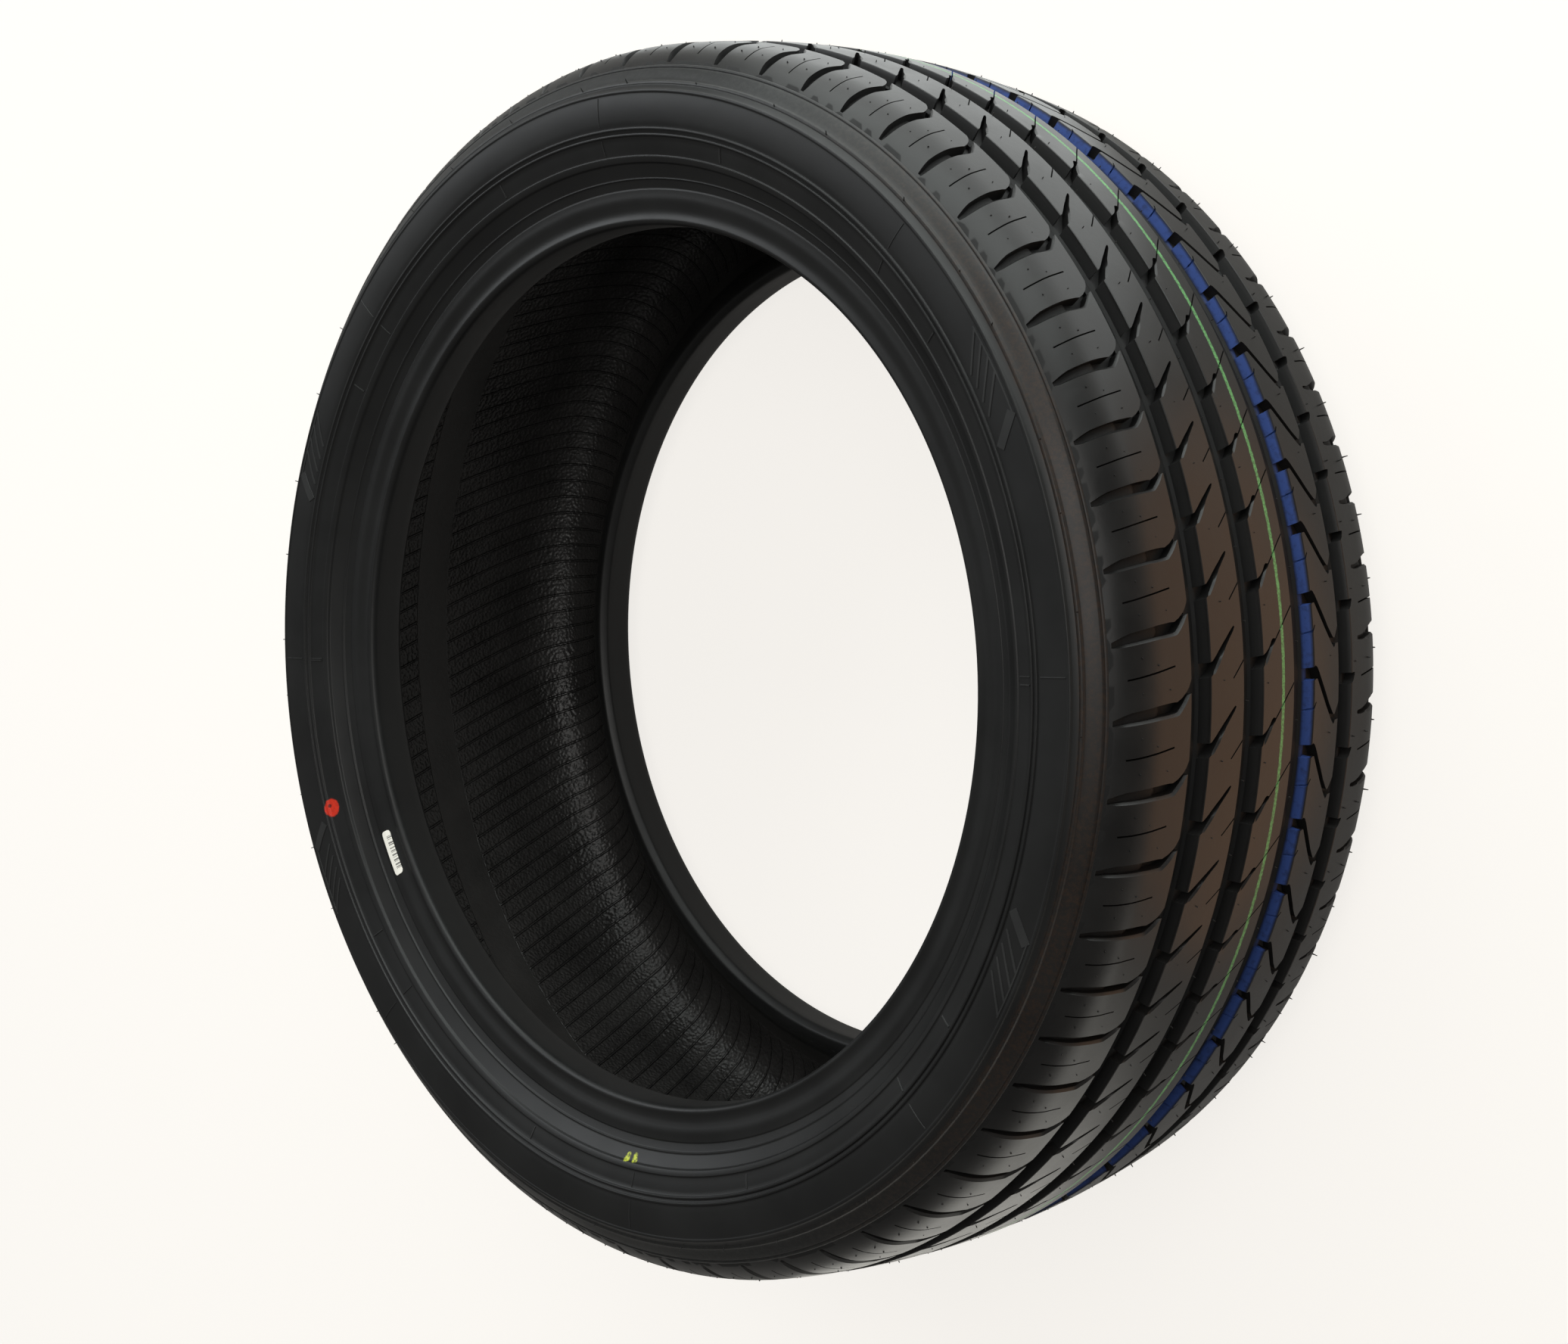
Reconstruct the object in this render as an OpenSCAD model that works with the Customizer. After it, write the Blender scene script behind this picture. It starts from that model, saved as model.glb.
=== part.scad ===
// Car tyre, size 245/45R19, lying on one sidewall with its spin axis on +Z.
// The origin is the centre of the wheel, on the axis and midway between the beads.
// One moulded piece of rubber, and a small paper label stuck beside the upper bead.

/* [Envelope] */
// Diameter of the bead seats, the nominal rim diameter
rim_d = 482.6; // [476:0.2:488]
// Height of the section, from the bead seats to the middle of the tread
section_h = 105.2; // [95:0.2:115]
// Width over both sidewalls
section_w = 245.6; // [240:0.2:254]
// How far the outer face of each bead lies inside the widest point, along the axis
bead_tuck = 15.3; // [13:0.1:18]

/* [Tread profile] */
// Radius of the crown seen in section
crown_r = 548; // [480:4:640]
// How far each sharp shoulder edge lies inside the widest point, along the axis
tread_tuck = 11.3; // [9:0.1:13]
// Radius that rounds each shoulder in section
shoulder_r = 36.7; // [33:0.1:40]
// Angle through which the shoulder turns from the radial direction
shoulder_sweep = 53; // [50:1:56]
// Depth of the four circumferential grooves
tread_depth = 7.8; // [6:0.1:8.5]
// Depth of the notches and slots across the ribs
notch_depth = 6.4; // [4:0.1:7]
// Thickness of rubber and plies under the middle of the tread
crown_t = 16.3; // [15:0.1:20]

/* [Circumferential grooves] */
// Height of the groove nearest the labelled side above the centre plane
groove_1_z = 63.2; // [61:0.1:64]
// Width of that groove
groove_1_w = 13.3; // [11:0.1:15]
// Height of the second groove
groove_2_z = 24.4; // [22:0.1:25]
// Width of the second groove
groove_2_w = 15.2; // [12:0.1:16]
// Height of the third and widest groove, below the centre plane
groove_3_z = -19; // [-22:0.1:-18]
// Width of the third groove
groove_3_w = 18.8; // [15:0.1:20]
// Height of the groove furthest from the labelled side
groove_4_z = -61.1; // [-63:0.1:-60]
// Width of that groove
groove_4_w = 15; // [12:0.1:16]
// Slope of the groove walls from square
groove_draft = 6; // [2:1:10]

/* [Tread pitch] */
// Number of pattern repeats round the tread
pitch_count = 63; // [60:1:66]
// Slow part of the change in pitch length that breaks up tread noise
pitch_swing_slow = 0.08; // [0:0.01:0.1]
// Quick part of the change in pitch length
pitch_swing_quick = 0.12; // [0:0.01:0.14]
// Width of the shoulder slots at their widest, measured round the tyre
slot_w = 5.2; // [3:0.1:6]
// Depth of the shoulder slots where the tread rounds off
slot_depth = 4; // [3:0.1:5]
// Width of the kinked neck that joins a shoulder slot to its groove
neck_w = 3.2; // [1.6:0.1:4]
// Width of the flared mouth of that neck
mouth_w = 7.8; // [5:0.1:9]
// Width of the claw notches where they leave their groove
claw_w = 6.2; // [4:0.1:7]
// Width of the narrow cut that runs on from the middle rib's claws
sipe_w = 1.1; // [0.6:0.1:1.6]
// Width of the chevron grooves on the fourth rib
chevron_w = 5.4; // [3:0.1:6]

/* [Sidewall] */
// Where the sidewall is widest, as a share of the section's height
widest_share = 0.5865; // [0.54:0.0005:0.62]
// Radius that rounds the sidewall in section
sidewall_r = 69.7; // [66:0.1:76]
// Thickness of the sidewall where it is widest
sidewall_t = 11; // [9:0.1:13]
// Distance from the tread's edge in to the rim protecting ridges at the foot of the buttress
buttress_l = 14.1; // [12:0.1:16]
// Where the two fine ridges lie, as a share of the way from the bead's raised ring to those ridges
fine_ridge_share = 0.413; // [0.36:0.001:0.48]
// How far the fine ridges stand up
ridge_h = 0.8; // [0.4:0.1:1.2]

/* [Bead] */
// Length of the seat from the toe to the start of the heel
seat_l = 16; // [12:0.5:18]
// Radius of the heel
heel_r = 5; // [3.5:0.1:6]
// Distance from the bead seat out to the flat band that carries the label
band_gap = 8.5; // [7:0.1:9.5]
// Width of that flat band
band_w = 10.6; // [9.5:0.1:12]
// Distance from the band out to the raised ring that shows whether the tyre sits true on its rim
ring_gap = 13.6; // [12:0.1:15]

/* [Label] */
// Length of the label
label_l = 31; // [20:1:40]
// Clearance between each long edge of the label and the edge of its band
label_margin = 0.6; // [0.4:0.1:2]
// Thickness of the label
label_t = 0.3; // [0.2:0.1:0.6]
// Where the label sits round the bead, clockwise from +X seen from above
label_angle = 330.5; // [0:0.5:360]

/* [Hidden] */
$fn = 180;
rim_r = rim_d / 2;
crown_top = rim_r + section_h;
crown_c = crown_top - crown_r;
side_z = section_w / 2;
bead_z = side_z - bead_tuck;
edge_z = side_z - tread_tuck;
// Centre of the shoulder arc, which touches the crown arc from inside
shoulder_z = edge_z - shoulder_r * sin(shoulder_sweep);
shoulder_turn = asin(shoulder_z / (crown_r - shoulder_r));
shoulder_c = crown_c + (crown_r - shoulder_r) * cos(shoulder_turn);
edge_r = shoulder_c + shoulder_r * cos(shoulder_sweep);
shoulder_steps = 3;
// Radii that follow from the edge of the tread and from the bead seat
widest_r = rim_r + widest_share * section_h;
buttress_r = edge_r - buttress_l;
band_in_r = rim_r + band_gap;
band_out_r = band_in_r + band_w;
true_ring_r = band_out_r + ring_gap;
fine_ridge_r = true_ring_r + fine_ridge_share * (buttress_r - true_ring_r);
// Centre height of the sidewall arc, and its height at any radius
sidewall_c = side_z - sidewall_r;
function sidewall_z(r) = sidewall_c + sqrt(pow(sidewall_r, 2) - pow(r - widest_r, 2));
// Radius of the crown at any height
function crown_at(z) = crown_c + sqrt(pow(crown_r, 2) - pow(z, 2));
foot_z = sidewall_z(buttress_r);
// Lower end of the bead seat, and the widest and outermost reach of the air chamber
seat_z = bead_z - heel_r - seat_l;
liner_z = side_z - sidewall_t;
liner_r = crown_top - crown_t;
// Flat label band, and the step at its inner edge
band_z = bead_z + 1.3;
step = 0.4;
// Lip where the tread meets the buttress
lip_h = 1.2;
ridge_w = 1.2;
ridge_gap = 3.2;
// Smooth line from a to d that leaves towards b and arrives from c
smooth_steps = 8;
function bezier(a, b, c, d, t) =
    pow(1 - t, 3) * a + 3 * pow(1 - t, 2) * t * b + 3 * (1 - t) * pow(t, 2) * c + pow(t, 3) * d;
function smooth(a, b, c, d) = [for (i = [0:smooth_steps]) bezier(a, b, c, d, i / smooth_steps)];
// Angle of one pattern repeat, clockwise from +X seen from above
pitch = 360 / pitch_count;
function pitch_angle(k) =
    pitch * (k + 0.3 - pitch_swing_slow * sin(5 * pitch * k + 35)
        + pitch_swing_quick * sin(8 * pitch * k - 9));
// Reach of every tread cut beyond the rubber
clear = 6;

// Crown and rounded shoulder, from the second groove out to the sharp edge
function tread_outline(inner_z, outer_z) = concat(
    [[crown_top, inner_z], [crown_at(outer_z), outer_z]],
    [for (i = [0:shoulder_steps]) let (a = shoulder_turn + (shoulder_sweep - shoulder_turn) * i / shoulder_steps)
        [shoulder_c + shoulder_r * cos(a), shoulder_z + shoulder_r * sin(a)]]
);

// Straight buttress under the tread edge, with its lip and the two ridges at its foot
buttress_outline = [
    [edge_r - lip_h, edge_z + 0.9], [edge_r - lip_h - 1, edge_z + 2.2],
    [buttress_r + ridge_gap + ridge_w + step, foot_z - ridge_gap - 1.4],
    [buttress_r + ridge_gap + ridge_w, foot_z - ridge_gap + 0.2],
    [buttress_r + ridge_gap, foot_z - ridge_gap + 0.4],
    [buttress_r + step, foot_z - 0.6], [buttress_r, foot_z + ridge_h / 2],
    [buttress_r - ridge_w, foot_z + ridge_h / 2]
];

// Bulging sidewall between two radii, walked inwards
function sidewall_outline(from_r, to_r, steps) =
    [for (i = [0:steps]) let (r = from_r + (to_r - from_r) * i / steps) [r, sidewall_z(r)]];

// One fine ridge that stands up from the sidewall
function fine_ridge(r) = [
    [r + ridge_w / 2, sidewall_z(r) + ridge_h], [r - ridge_w / 2, sidewall_z(r) + ridge_h]
];

// Bead, walked inwards: raised ring, clinch, label band, rounded heel, seat and toe
bead_outline = concat(
    [[true_ring_r - 0.6, sidewall_z(true_ring_r) + ridge_h],
     [true_ring_r - 5, sidewall_z(true_ring_r - 5) + ridge_h],
     [true_ring_r - 5.6, sidewall_z(true_ring_r - 5.6) - 1.6],
     [band_out_r + step, band_z - step], [band_out_r, band_z],
     [band_in_r + step, band_z], [band_in_r, bead_z]],
    [for (a = [90:-22.5:0]) [rim_r + heel_r - heel_r * cos(a), bead_z - heel_r + heel_r * sin(a)]],
    [[rim_r, seat_z], [rim_r + 4, seat_z - 4]]
);

// The air chamber's wall: a smooth line from the bead to the middle of the crown
liner_outline = concat(
    smooth([rim_r + 11, seat_z - 2], [rim_r + 25, seat_z + 13], [widest_r - 23, liner_z], [widest_r - 7, liner_z]),
    smooth([widest_r - 7, liner_z], [liner_r - 8, liner_z + 1], [liner_r, liner_z * 0.67], [liner_r, 0])
);

// Half of the section, from the middle of the crown round to the middle of the liner
function half_section(inner_z, outer_z) = concat(
    tread_outline(inner_z, outer_z),
    buttress_outline,
    sidewall_outline(buttress_r - ridge_w - step, fine_ridge_r + ridge_gap / 2 + ridge_w / 2 + step, 4),
    fine_ridge(fine_ridge_r + ridge_gap / 2),
    sidewall_outline(fine_ridge_r + 0.5, fine_ridge_r - 0.5, 1),
    fine_ridge(fine_ridge_r - ridge_gap / 2),
    sidewall_outline(fine_ridge_r - ridge_gap / 2 - ridge_w / 2 - step, true_ring_r, 3),
    bead_outline,
    liner_outline
);
function backwards(points) = [for (i = [len(points) - 1:-1:0]) points[i]];
function mirrored(points) = [for (p = points) [p[0], -p[1]]];

// One circumferential groove, with sloped walls and eased corners at its floor
module groove_section(z, w) {
    floor_r = crown_at(abs(z)) - tread_depth;
    ease = 1.4;
    half_floor = w / 2 - tread_depth * tan(groove_draft);
    half_top = w / 2 + clear * tan(groove_draft);
    polygon([
        [floor_r, z - half_floor + ease], [floor_r + ease, z - half_floor],
        [floor_r + tread_depth + clear, z - half_top], [floor_r + tread_depth + clear, z + half_top],
        [floor_r + ease, z + half_floor], [floor_r, z + half_floor - ease]
    ]);
}

module tyre_section() {
    upper = half_section(groove_2_z, groove_1_z);
    lower = mirrored(half_section(-groove_3_z, -groove_4_z));
    difference() {
        polygon(concat(upper, backwards(lower)));
        groove_section(groove_1_z, groove_1_w);
        groove_section(groove_2_z, groove_2_w);
        groove_section(groove_3_z, groove_3_w);
        groove_section(groove_4_z, groove_4_w);
    }
}

// Outline of a cut, from rows of [middle, height, width] with the width measured round the tyre
function cut_outline(rows) = concat(
    [for (r = rows) [r[0] - r[2] / 2, r[1]]],
    [for (i = [len(rows) - 1:-1:0]) [rows[i][0] + rows[i][2] / 2, rows[i][1]]]
);

// Rows whose heights are shares of the way across a rib, from from_z to to_z
function across(from_z, to_z, rows) = [for (r = rows) [r[0], from_z + r[1] * (to_z - from_z), r[2]]];

// A cut into the tread. Its floor lies at floor_r at height z, and leans by tilt degrees
// towards the edge of the tread.
module tread_cut(floor_r, rows, z = 0, tilt = 0) {
    leaned = [for (r = rows) [r[0], (r[1] - z) / cos(tilt), r[2]]];
    translate([floor_r, 0, z]) rotate([0, tilt, 0]) rotate([90, 0, 90])
        linear_extrude(crown_top - floor_r + clear + 14 * abs(sin(tilt))) polygon(cut_outline(leaned));
}

// Edges of the five ribs, from the labelled side down
rib_1_end = groove_1_z + groove_1_w / 2;
rib_2_start = groove_1_z - groove_1_w / 2;
rib_2_end = groove_2_z + groove_2_w / 2;
rib_3_start = groove_2_z - groove_2_w / 2;
rib_3_end = groove_3_z + groove_3_w / 2;
rib_4_start = groove_3_z - groove_3_w / 2;
rib_4_end = groove_4_z + groove_4_w / 2;
rib_5_start = groove_4_z - groove_4_w / 2;

// Each shoulder slot is as deep as a notch at its inner end, and shallower where the tread rounds off
slot_tilt = 27;
upper_turn_z = rib_1_end + 0.4358 * (edge_z - rib_1_end);
lower_turn_z = rib_5_start - 0.4522 * (edge_z + rib_5_start);
function slot_floor_r(z) = shoulder_c + sqrt(pow(shoulder_r, 2) - pow(abs(z) - shoulder_z, 2)) - slot_depth;

// Shoulder slot of the labelled side: a flared mouth, a kinked neck and a long tapering lens
module upper_shoulder_slot() {
    tread_cut(crown_at(rib_1_end) - notch_depth, across(rib_1_end, edge_z, [
        [2.6, -0.03, mouth_w], [-0.4, 0.053, neck_w], [-6.7, 0.235, slot_w * 0.94], [-7.8, 0.474, slot_w]
    ]));
    tread_cut(slot_floor_r(upper_turn_z), across(rib_1_end, edge_z, [
        [-7.5, 0.388, slot_w], [-9.5, 0.712, slot_w * 0.92], [-13.6, 1.048, slot_w * 0.4]
    ]), upper_turn_z, -slot_tilt);
}

// Curved claw notch that leaves the first groove and ends in a point
module second_rib_claw() {
    tread_cut(crown_at(rib_2_start) - notch_depth, across(rib_2_start, rib_2_end, [
        [6.2, -0.163, claw_w * 1.05], [9.2, 0.081, claw_w * 0.96], [26.2, 0.745, 0.8]
    ]));
}

// Claw notch of the middle rib, which runs on as a narrow cut to the third groove
module middle_rib_claw() {
    tread_cut(crown_top - notch_depth, across(rib_3_start, rib_3_end, [
        [7.8, -0.121, claw_w * 0.86], [11.6, 0.098, claw_w * 0.8],
        [18.4, 0.386, sipe_w * 1.2], [36.2, 1.076, sipe_w]
    ]));
}

// Chevron groove of the fourth rib: it leaves the third groove, turns sharply back and opens
// through a flared mouth into the fourth
module fourth_rib_chevron() {
    tread_cut(crown_at((rib_4_start + rib_4_end) / 2) - notch_depth, across(rib_4_start, rib_4_end, [
        [0.1, -0.143, chevron_w], [2.3, 0.095, chevron_w], [-19, 0.841, chevron_w * 0.8], [-13, 1.115, chevron_w * 2.4]
    ]));
}

// Shoulder slot of the other side, which starts a little outside the fourth groove
module lower_shoulder_slot() {
    tread_cut(slot_floor_r(lower_turn_z) + 0.3, across(rib_5_start, -edge_z, [
        [15.9, 0.168, slot_w * 0.38], [17.8, 0.485, slot_w * 0.84]
    ]));
    tread_cut(slot_floor_r(lower_turn_z), across(rib_5_start, -edge_z, [
        [17.4, 0.424, slot_w * 0.74], [20.3, 0.674, slot_w * 1.1], [20.1, 1.047, slot_w * 1.17]
    ]), lower_turn_z, slot_tilt);
}

module tread_pattern() {
    for (k = [0:pitch_count - 1]) rotate(-pitch_angle(k)) {
        upper_shoulder_slot();
        second_rib_claw();
        middle_rib_claw();
        fourth_rib_chevron();
        lower_shoulder_slot();
    }
}

module tyre() {
    color("#242526") difference() {
        rotate_extrude() tyre_section();
        tread_pattern();
    }
}

// Rounded paper label, flat on the band beside the bead
module barcode_label() {
    corner = 2.2;
    middle_r = (band_in_r + step + band_out_r) / 2;
    label_w = band_w - step - 2 * label_margin;
    color("#f2efe4") rotate(-label_angle) translate([middle_r, 0, band_z])
        linear_extrude(label_t) hull()
            for (x = [-1, 1], y = [-1, 1])
                translate([x * (label_w / 2 - corner), y * (label_l / 2 - corner)])
                    circle(corner, $fn = 24);
}

tyre();
barcode_label();
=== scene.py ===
"""Looks of a car tyre that lies on one sidewall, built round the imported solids.

Everything is worked out in millimetres and written to the meshes in metres.
Angles round the tyre run clockwise from +X seen from above, as in the photograph.
"""
import math

import bmesh
import bpy
import numpy as np
from mathutils import Matrix, Vector
from mathutils.geometry import delaunay_2d_cdt


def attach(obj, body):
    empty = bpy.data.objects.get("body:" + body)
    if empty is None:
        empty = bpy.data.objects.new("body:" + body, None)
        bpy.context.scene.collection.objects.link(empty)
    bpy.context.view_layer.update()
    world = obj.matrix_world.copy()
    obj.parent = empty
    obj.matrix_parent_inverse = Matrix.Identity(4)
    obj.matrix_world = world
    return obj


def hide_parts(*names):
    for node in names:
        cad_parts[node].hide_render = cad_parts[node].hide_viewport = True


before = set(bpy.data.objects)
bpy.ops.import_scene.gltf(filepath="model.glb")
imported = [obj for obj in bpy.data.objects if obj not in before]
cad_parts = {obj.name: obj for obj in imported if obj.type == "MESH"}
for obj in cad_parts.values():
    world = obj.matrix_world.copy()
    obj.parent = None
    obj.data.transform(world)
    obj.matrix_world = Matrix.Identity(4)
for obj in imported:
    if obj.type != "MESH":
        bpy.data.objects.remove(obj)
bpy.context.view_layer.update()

MM = 0.001
TAU = 2 * math.pi
# Vertices nearer than this, in metres, become one
MERGE = 2e-6

# ---------------------------------------------------------------- section sizes
RIM_R = 241.3  # bead seat
CROWN_TOP = 346.5  # middle of the tread
CROWN_R = 548.0  # arc across the tread
SHOULDER_R = 36.7  # arc that rounds the tread's edge, and its end
SHOULDER_SWEEP = math.radians(53)
EDGE_Z = 111.5
SIDE_Z = 122.8  # widest place of the sidewall, its radius and its arc
WIDEST_R = 303.0
SIDEWALL_R = 69.7
LINER_R = 330.2  # inner wall under the crown and beside the widest place
LINER_Z = SIDE_Z - 11.0

# Centres of the crown's and the shoulder's arcs, the angle where they meet, and lengths from the tread's
# middle to that place and to the tread's edge
CROWN_C = CROWN_TOP - CROWN_R
SHOULDER_Z = EDGE_Z - SHOULDER_R * math.sin(SHOULDER_SWEEP)
TURN = math.asin(SHOULDER_Z / (CROWN_R - SHOULDER_R))
SHOULDER_C = CROWN_C + (CROWN_R - SHOULDER_R) * math.cos(TURN)
S_TURN = CROWN_R * TURN
S_EDGE = S_TURN + SHOULDER_R * (SHOULDER_SWEEP - TURN)


def s_of_z(z):
    """Length along the tread's section from its middle to height z."""
    a = abs(z)
    if a <= CROWN_R * math.sin(TURN):
        s = CROWN_R * math.asin(a / CROWN_R)
    else:
        s = S_TURN + SHOULDER_R * (math.asin(min(1, (a - SHOULDER_Z) / SHOULDER_R)) - TURN)
    return math.copysign(s, z)


def tread_surface(s, depth):
    """Radius and height of points at length s along the section and a depth under it: the centre of the arc
    that s lies on, plus the arc's radius less the depth, at the angle s over that radius."""
    a = np.abs(s)
    crown = a <= S_TURN
    ang = np.where(crown, a / CROWN_R, TURN + (a - S_TURN) / SHOULDER_R)
    r = np.where(crown, CROWN_C + CROWN_R * np.cos(ang), SHOULDER_C + SHOULDER_R * np.cos(ang))
    z = np.where(crown, CROWN_R * np.sin(ang), SHOULDER_Z + SHOULDER_R * np.sin(ang))
    return r - depth * np.cos(ang), np.sign(s) * (z - depth * np.sin(ang))


def z_of_s(s):
    """Height of the tread's surface at length s from its middle."""
    return tread_surface(s, 0.0)[1]


def sidewall_z(r):
    """Height of the bulging sidewall at radius r: its arc's centre, plus the root of the arc's radius squared
    less the distance from the widest place squared."""
    return SIDE_Z - SIDEWALL_R + np.sqrt(SIDEWALL_R ** 2 - (np.asarray(r) - WIDEST_R) ** 2)


# ---------------------------------------------------------------- tread pitch
PITCHES = 63
PITCH_L = TAU * CROWN_TOP / PITCHES
# Start of the first pitch in pitches, and waves as (times round the tyre, size in pitches, lead in degrees)
PITCH_START = 0.3
PITCH_WAVES = ((5, -0.08, 35), (8, 0.12, -9))


def pitch_angle(k):
    """Angle of pitch k in degrees: the start plus k even pitches, moved by the sine of each wave, so the
    pitches grow and shrink to spread their noise."""
    step = 360 / PITCHES
    turn = np.radians(step * np.asarray(k, float))
    moved = k + PITCH_START
    for times, size, lead in PITCH_WAVES:
        moved = moved + size * np.sin(times * turn + math.radians(lead))
    return step * moved


# Grooves round the tyre as (height, width), and depths
GROOVES = ((63.2, 13.3), (24.4, 15.2), (-19.0, 18.8), (-61.1, 15.0))
GROOVE_DEPTH = 7.8
CUT_DEPTH = 6.4
CHEVRON_DEPTH = 5.8
NOTCH_DEPTH = 5.4
SIPE_DEPTH = 4.5
# Groove section: distance in from its edge, and depth there
GROOVE_STEPS = ((-0.45, 0.0), (0.0, 0.3), (1.45, 6.6), (2.9, GROOVE_DEPTH))
# Where the pattern starts within its pitch
SHIFT = -3.0


def groove_depth(s):
    """Depth of the grooves at length s: that of the steps, at the distance in from a groove's nearer edge."""
    best = np.zeros_like(s)
    for z, w in GROOVES:
        inset = w / 2 - np.abs(s - s_of_z(z))
        best = np.maximum(best, np.interp(inset, *zip(*GROOVE_STEPS)))
    return best


def band(line, width):
    """Outline of a cut of even width along a line of (z, t) points: each point moved half the width to either
    side, square to the line from the point before it to the point after it."""
    pts = [Vector((p[0], p[1])) for p in line]
    left, right = [], []
    for i, p in enumerate(pts):
        d = (pts[min(i + 1, len(pts) - 1)] - pts[max(i - 1, 0)]).normalized()
        n = Vector((-d.y, d.x)) * width / 2
        left.append(tuple(p + n))
        right.append(tuple(p - n))
    return left + right[::-1]


def slot_depth(z):
    """Depth of the labelled shoulder's slot at height z, shallower towards the tread's edge."""
    return np.interp(np.abs(z), [86.5, 88.5, 107, 110.8], [CUT_DEPTH, 3.9, 3.6, 1.6])


def far_slot_depth(z):
    """Depth of the far shoulder's slot at height z."""
    return np.interp(np.abs(z), [75, 79, 88, 107, 110.8], [3.6, 4.4, 4.0, 3.4, 1.6])


def even(depth):
    """Depth law that is the same at every height."""
    return lambda z: np.full_like(z, depth)


# Outlines that a chamfer follows, as (z, t) points: the labelled shoulder's slot with its neck and flared
# mouth, the claws of the second and the middle rib, and the far shoulder's slot
SLOT = [(110.4, -11.2), (105, -9.8), (100, -9.0), (95, -8.2), (90, -7.5), (85, -7.1), (80, -6.4),
        (78.3, -5.9), (76, -3.7), (74, -1.5), (72, 1.0), (70.6, 1.6), (68.9, 1.8), (68.9, 9.3), (70.4, 7.2),
        (71.6, 4.8), (73.3, 2.6), (76.3, 0.2), (79.6, -1.5), (82, -1.5), (86, -1.9), (90, -2.4), (95, -3.3),
        (100, -4.3), (104, -5.2), (107, -6.6), (110.4, -8.8)]
SECOND_CLAW = [(61, 12.5), (57, 13.9), (55, 14.8), (52.5, 17), (50, 19.5), (47, 22.3), (45, 24), (42, 26.8),
               (40, 28.5), (38.6, 29.4), (38, 28.9), (39, 27.2), (42, 24), (45, 20.7), (48, 17.2), (50, 14.8),
               (52, 12.2), (53.5, 10.2), (55, 8.8), (57.2, 7.4), (61, 6.0)]
MIDDLE_CLAW = [(20.5, 13), (17, 15), (14, 16.5), (12, 18.1), (10.5, 19.8), (9.3, 21.5), (8, 22.3),
               (6.6, 22.2), (5.8, 21.5), (6.2, 20.7), (7.5, 19.7), (9.5, 18.1), (11.5, 15.6), (13.5, 12.8),
               (15.5, 10.8), (17, 9.5), (20.5, 7.8)]
FAR_SLOT = [(-76.2, 18), (-80, 17.7), (-85, 18.2), (-90, 19), (-95, 20), (-100, 20.5), (-105, 20.6),
            (-110.6, 20.1), (-110.6, 26.2), (-105, 26.7), (-100, 26.3), (-95, 25.6), (-90, 24.0), (-86, 21.9),
            (-82, 20.5), (-79, 20.0), (-76.2, 19.8), (-75.6, 18.9)]
# Cuts of one pitch as (outline, depth law)
CUTS = [
    (SLOT, slot_depth),
    (band([(105.5, 8.8), (100, 9.9), (95, 11), (90, 12), (85, 13), (80.5, 13.9)], 0.8), even(SIPE_DEPTH)),
    # the second rib, with the short sipe beside its claw
    (SECOND_CLAW, even(CUT_DEPTH)),
    (band([(40.2, 6.5), (36, 10.5), (32, 14.4), (29.5, 16.8)], 0.75), even(SIPE_DEPTH)),
    # the middle rib, with the narrow cut that runs on from its claw
    (MIDDLE_CLAW, even(CUT_DEPTH)),
    (band([(6.6, 21.1), (3, 24.6), (0, 27.6), (-4, 31.6), (-8, 35.3), (-12, 39)], 0.8), even(CUT_DEPTH)),
    # chevron groove of the fourth rib, with its flared mouth
    ([(-24.5, 0.5), (-28, 1.5), (-30, 2.3), (-31.3, 2.4), (-33, 0), (-36, -4.2), (-40, -9.6), (-44, -14.4),
      (-46.5, -17.2), (-48.6, -19), (-49.6, -18.6), (-50.6, -16.6), (-50, -14.4), (-48.5, -14.6),
      (-46.8, -12.9), (-43.5, -9.3), (-40, -4.4), (-36, 1.2), (-33, 5.6), (-31.2, 7.7), (-29.6, 8.4),
      (-28, 7.4), (-24.5, 5.6)],
     even(CHEVRON_DEPTH)),
    ([(-50.2, -17.2), (-56.5, -16.6), (-56.5, -3.4), (-54.6, -6.6), (-52.4, -10.6), (-50, -14.2)],
     even(CHEVRON_DEPTH)),
    (band([(-26, 21.8), (-28.4, 23.6), (-30.4, 26.6)], 0.8), even(SIPE_DEPTH)),
    # notch at the inner edge of the far shoulder
    ([(-64.5, 31.5), (-68, 32.1), (-70, 33.8), (-71.7, 36.6), (-71.9, 37.6), (-70, 37.6), (-67.5, 37.2),
      (-64.5, 36.6)], even(NOTCH_DEPTH)),
    (FAR_SLOT, far_slot_depth),
    (band([(-79.5, 1.0), (-85, 1.9), (-90, 2.7), (-95, 3.3), (-100, 3.5), (-105, 3.4), (-110.6, 2.7)], 0.8),
     even(SIPE_DEPTH)),
]
# Chamfers as (stretch of an outline, outer line between the stretch's ends, depth at the outline)
CHAMFERS = [
    (SLOT[:12], [(108, -11.4), (105, -11), (100, -10.2), (95, -9.4), (90, -8.7), (85, -8.3), (80, -7.7),
                 (78, -7.2), (75, -4.4), (73, -2.1)], 1.3),
    (SECOND_CLAW[18:12:-1], [(53.2, 9.3), (51.3, 11.6), (49.2, 14.2)], 0.9),
    (MIDDLE_CLAW[14:9:-1], [(14.4, 10.6), (12.7, 12.3), (10.6, 15.3)], 0.9),
    (FAR_SLOT[2:8], [(-88, 17.6), (-95, 18.9), (-100, 19.4), (-105, 19.5), (-109, 19.3)], 1.0),
]
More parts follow.
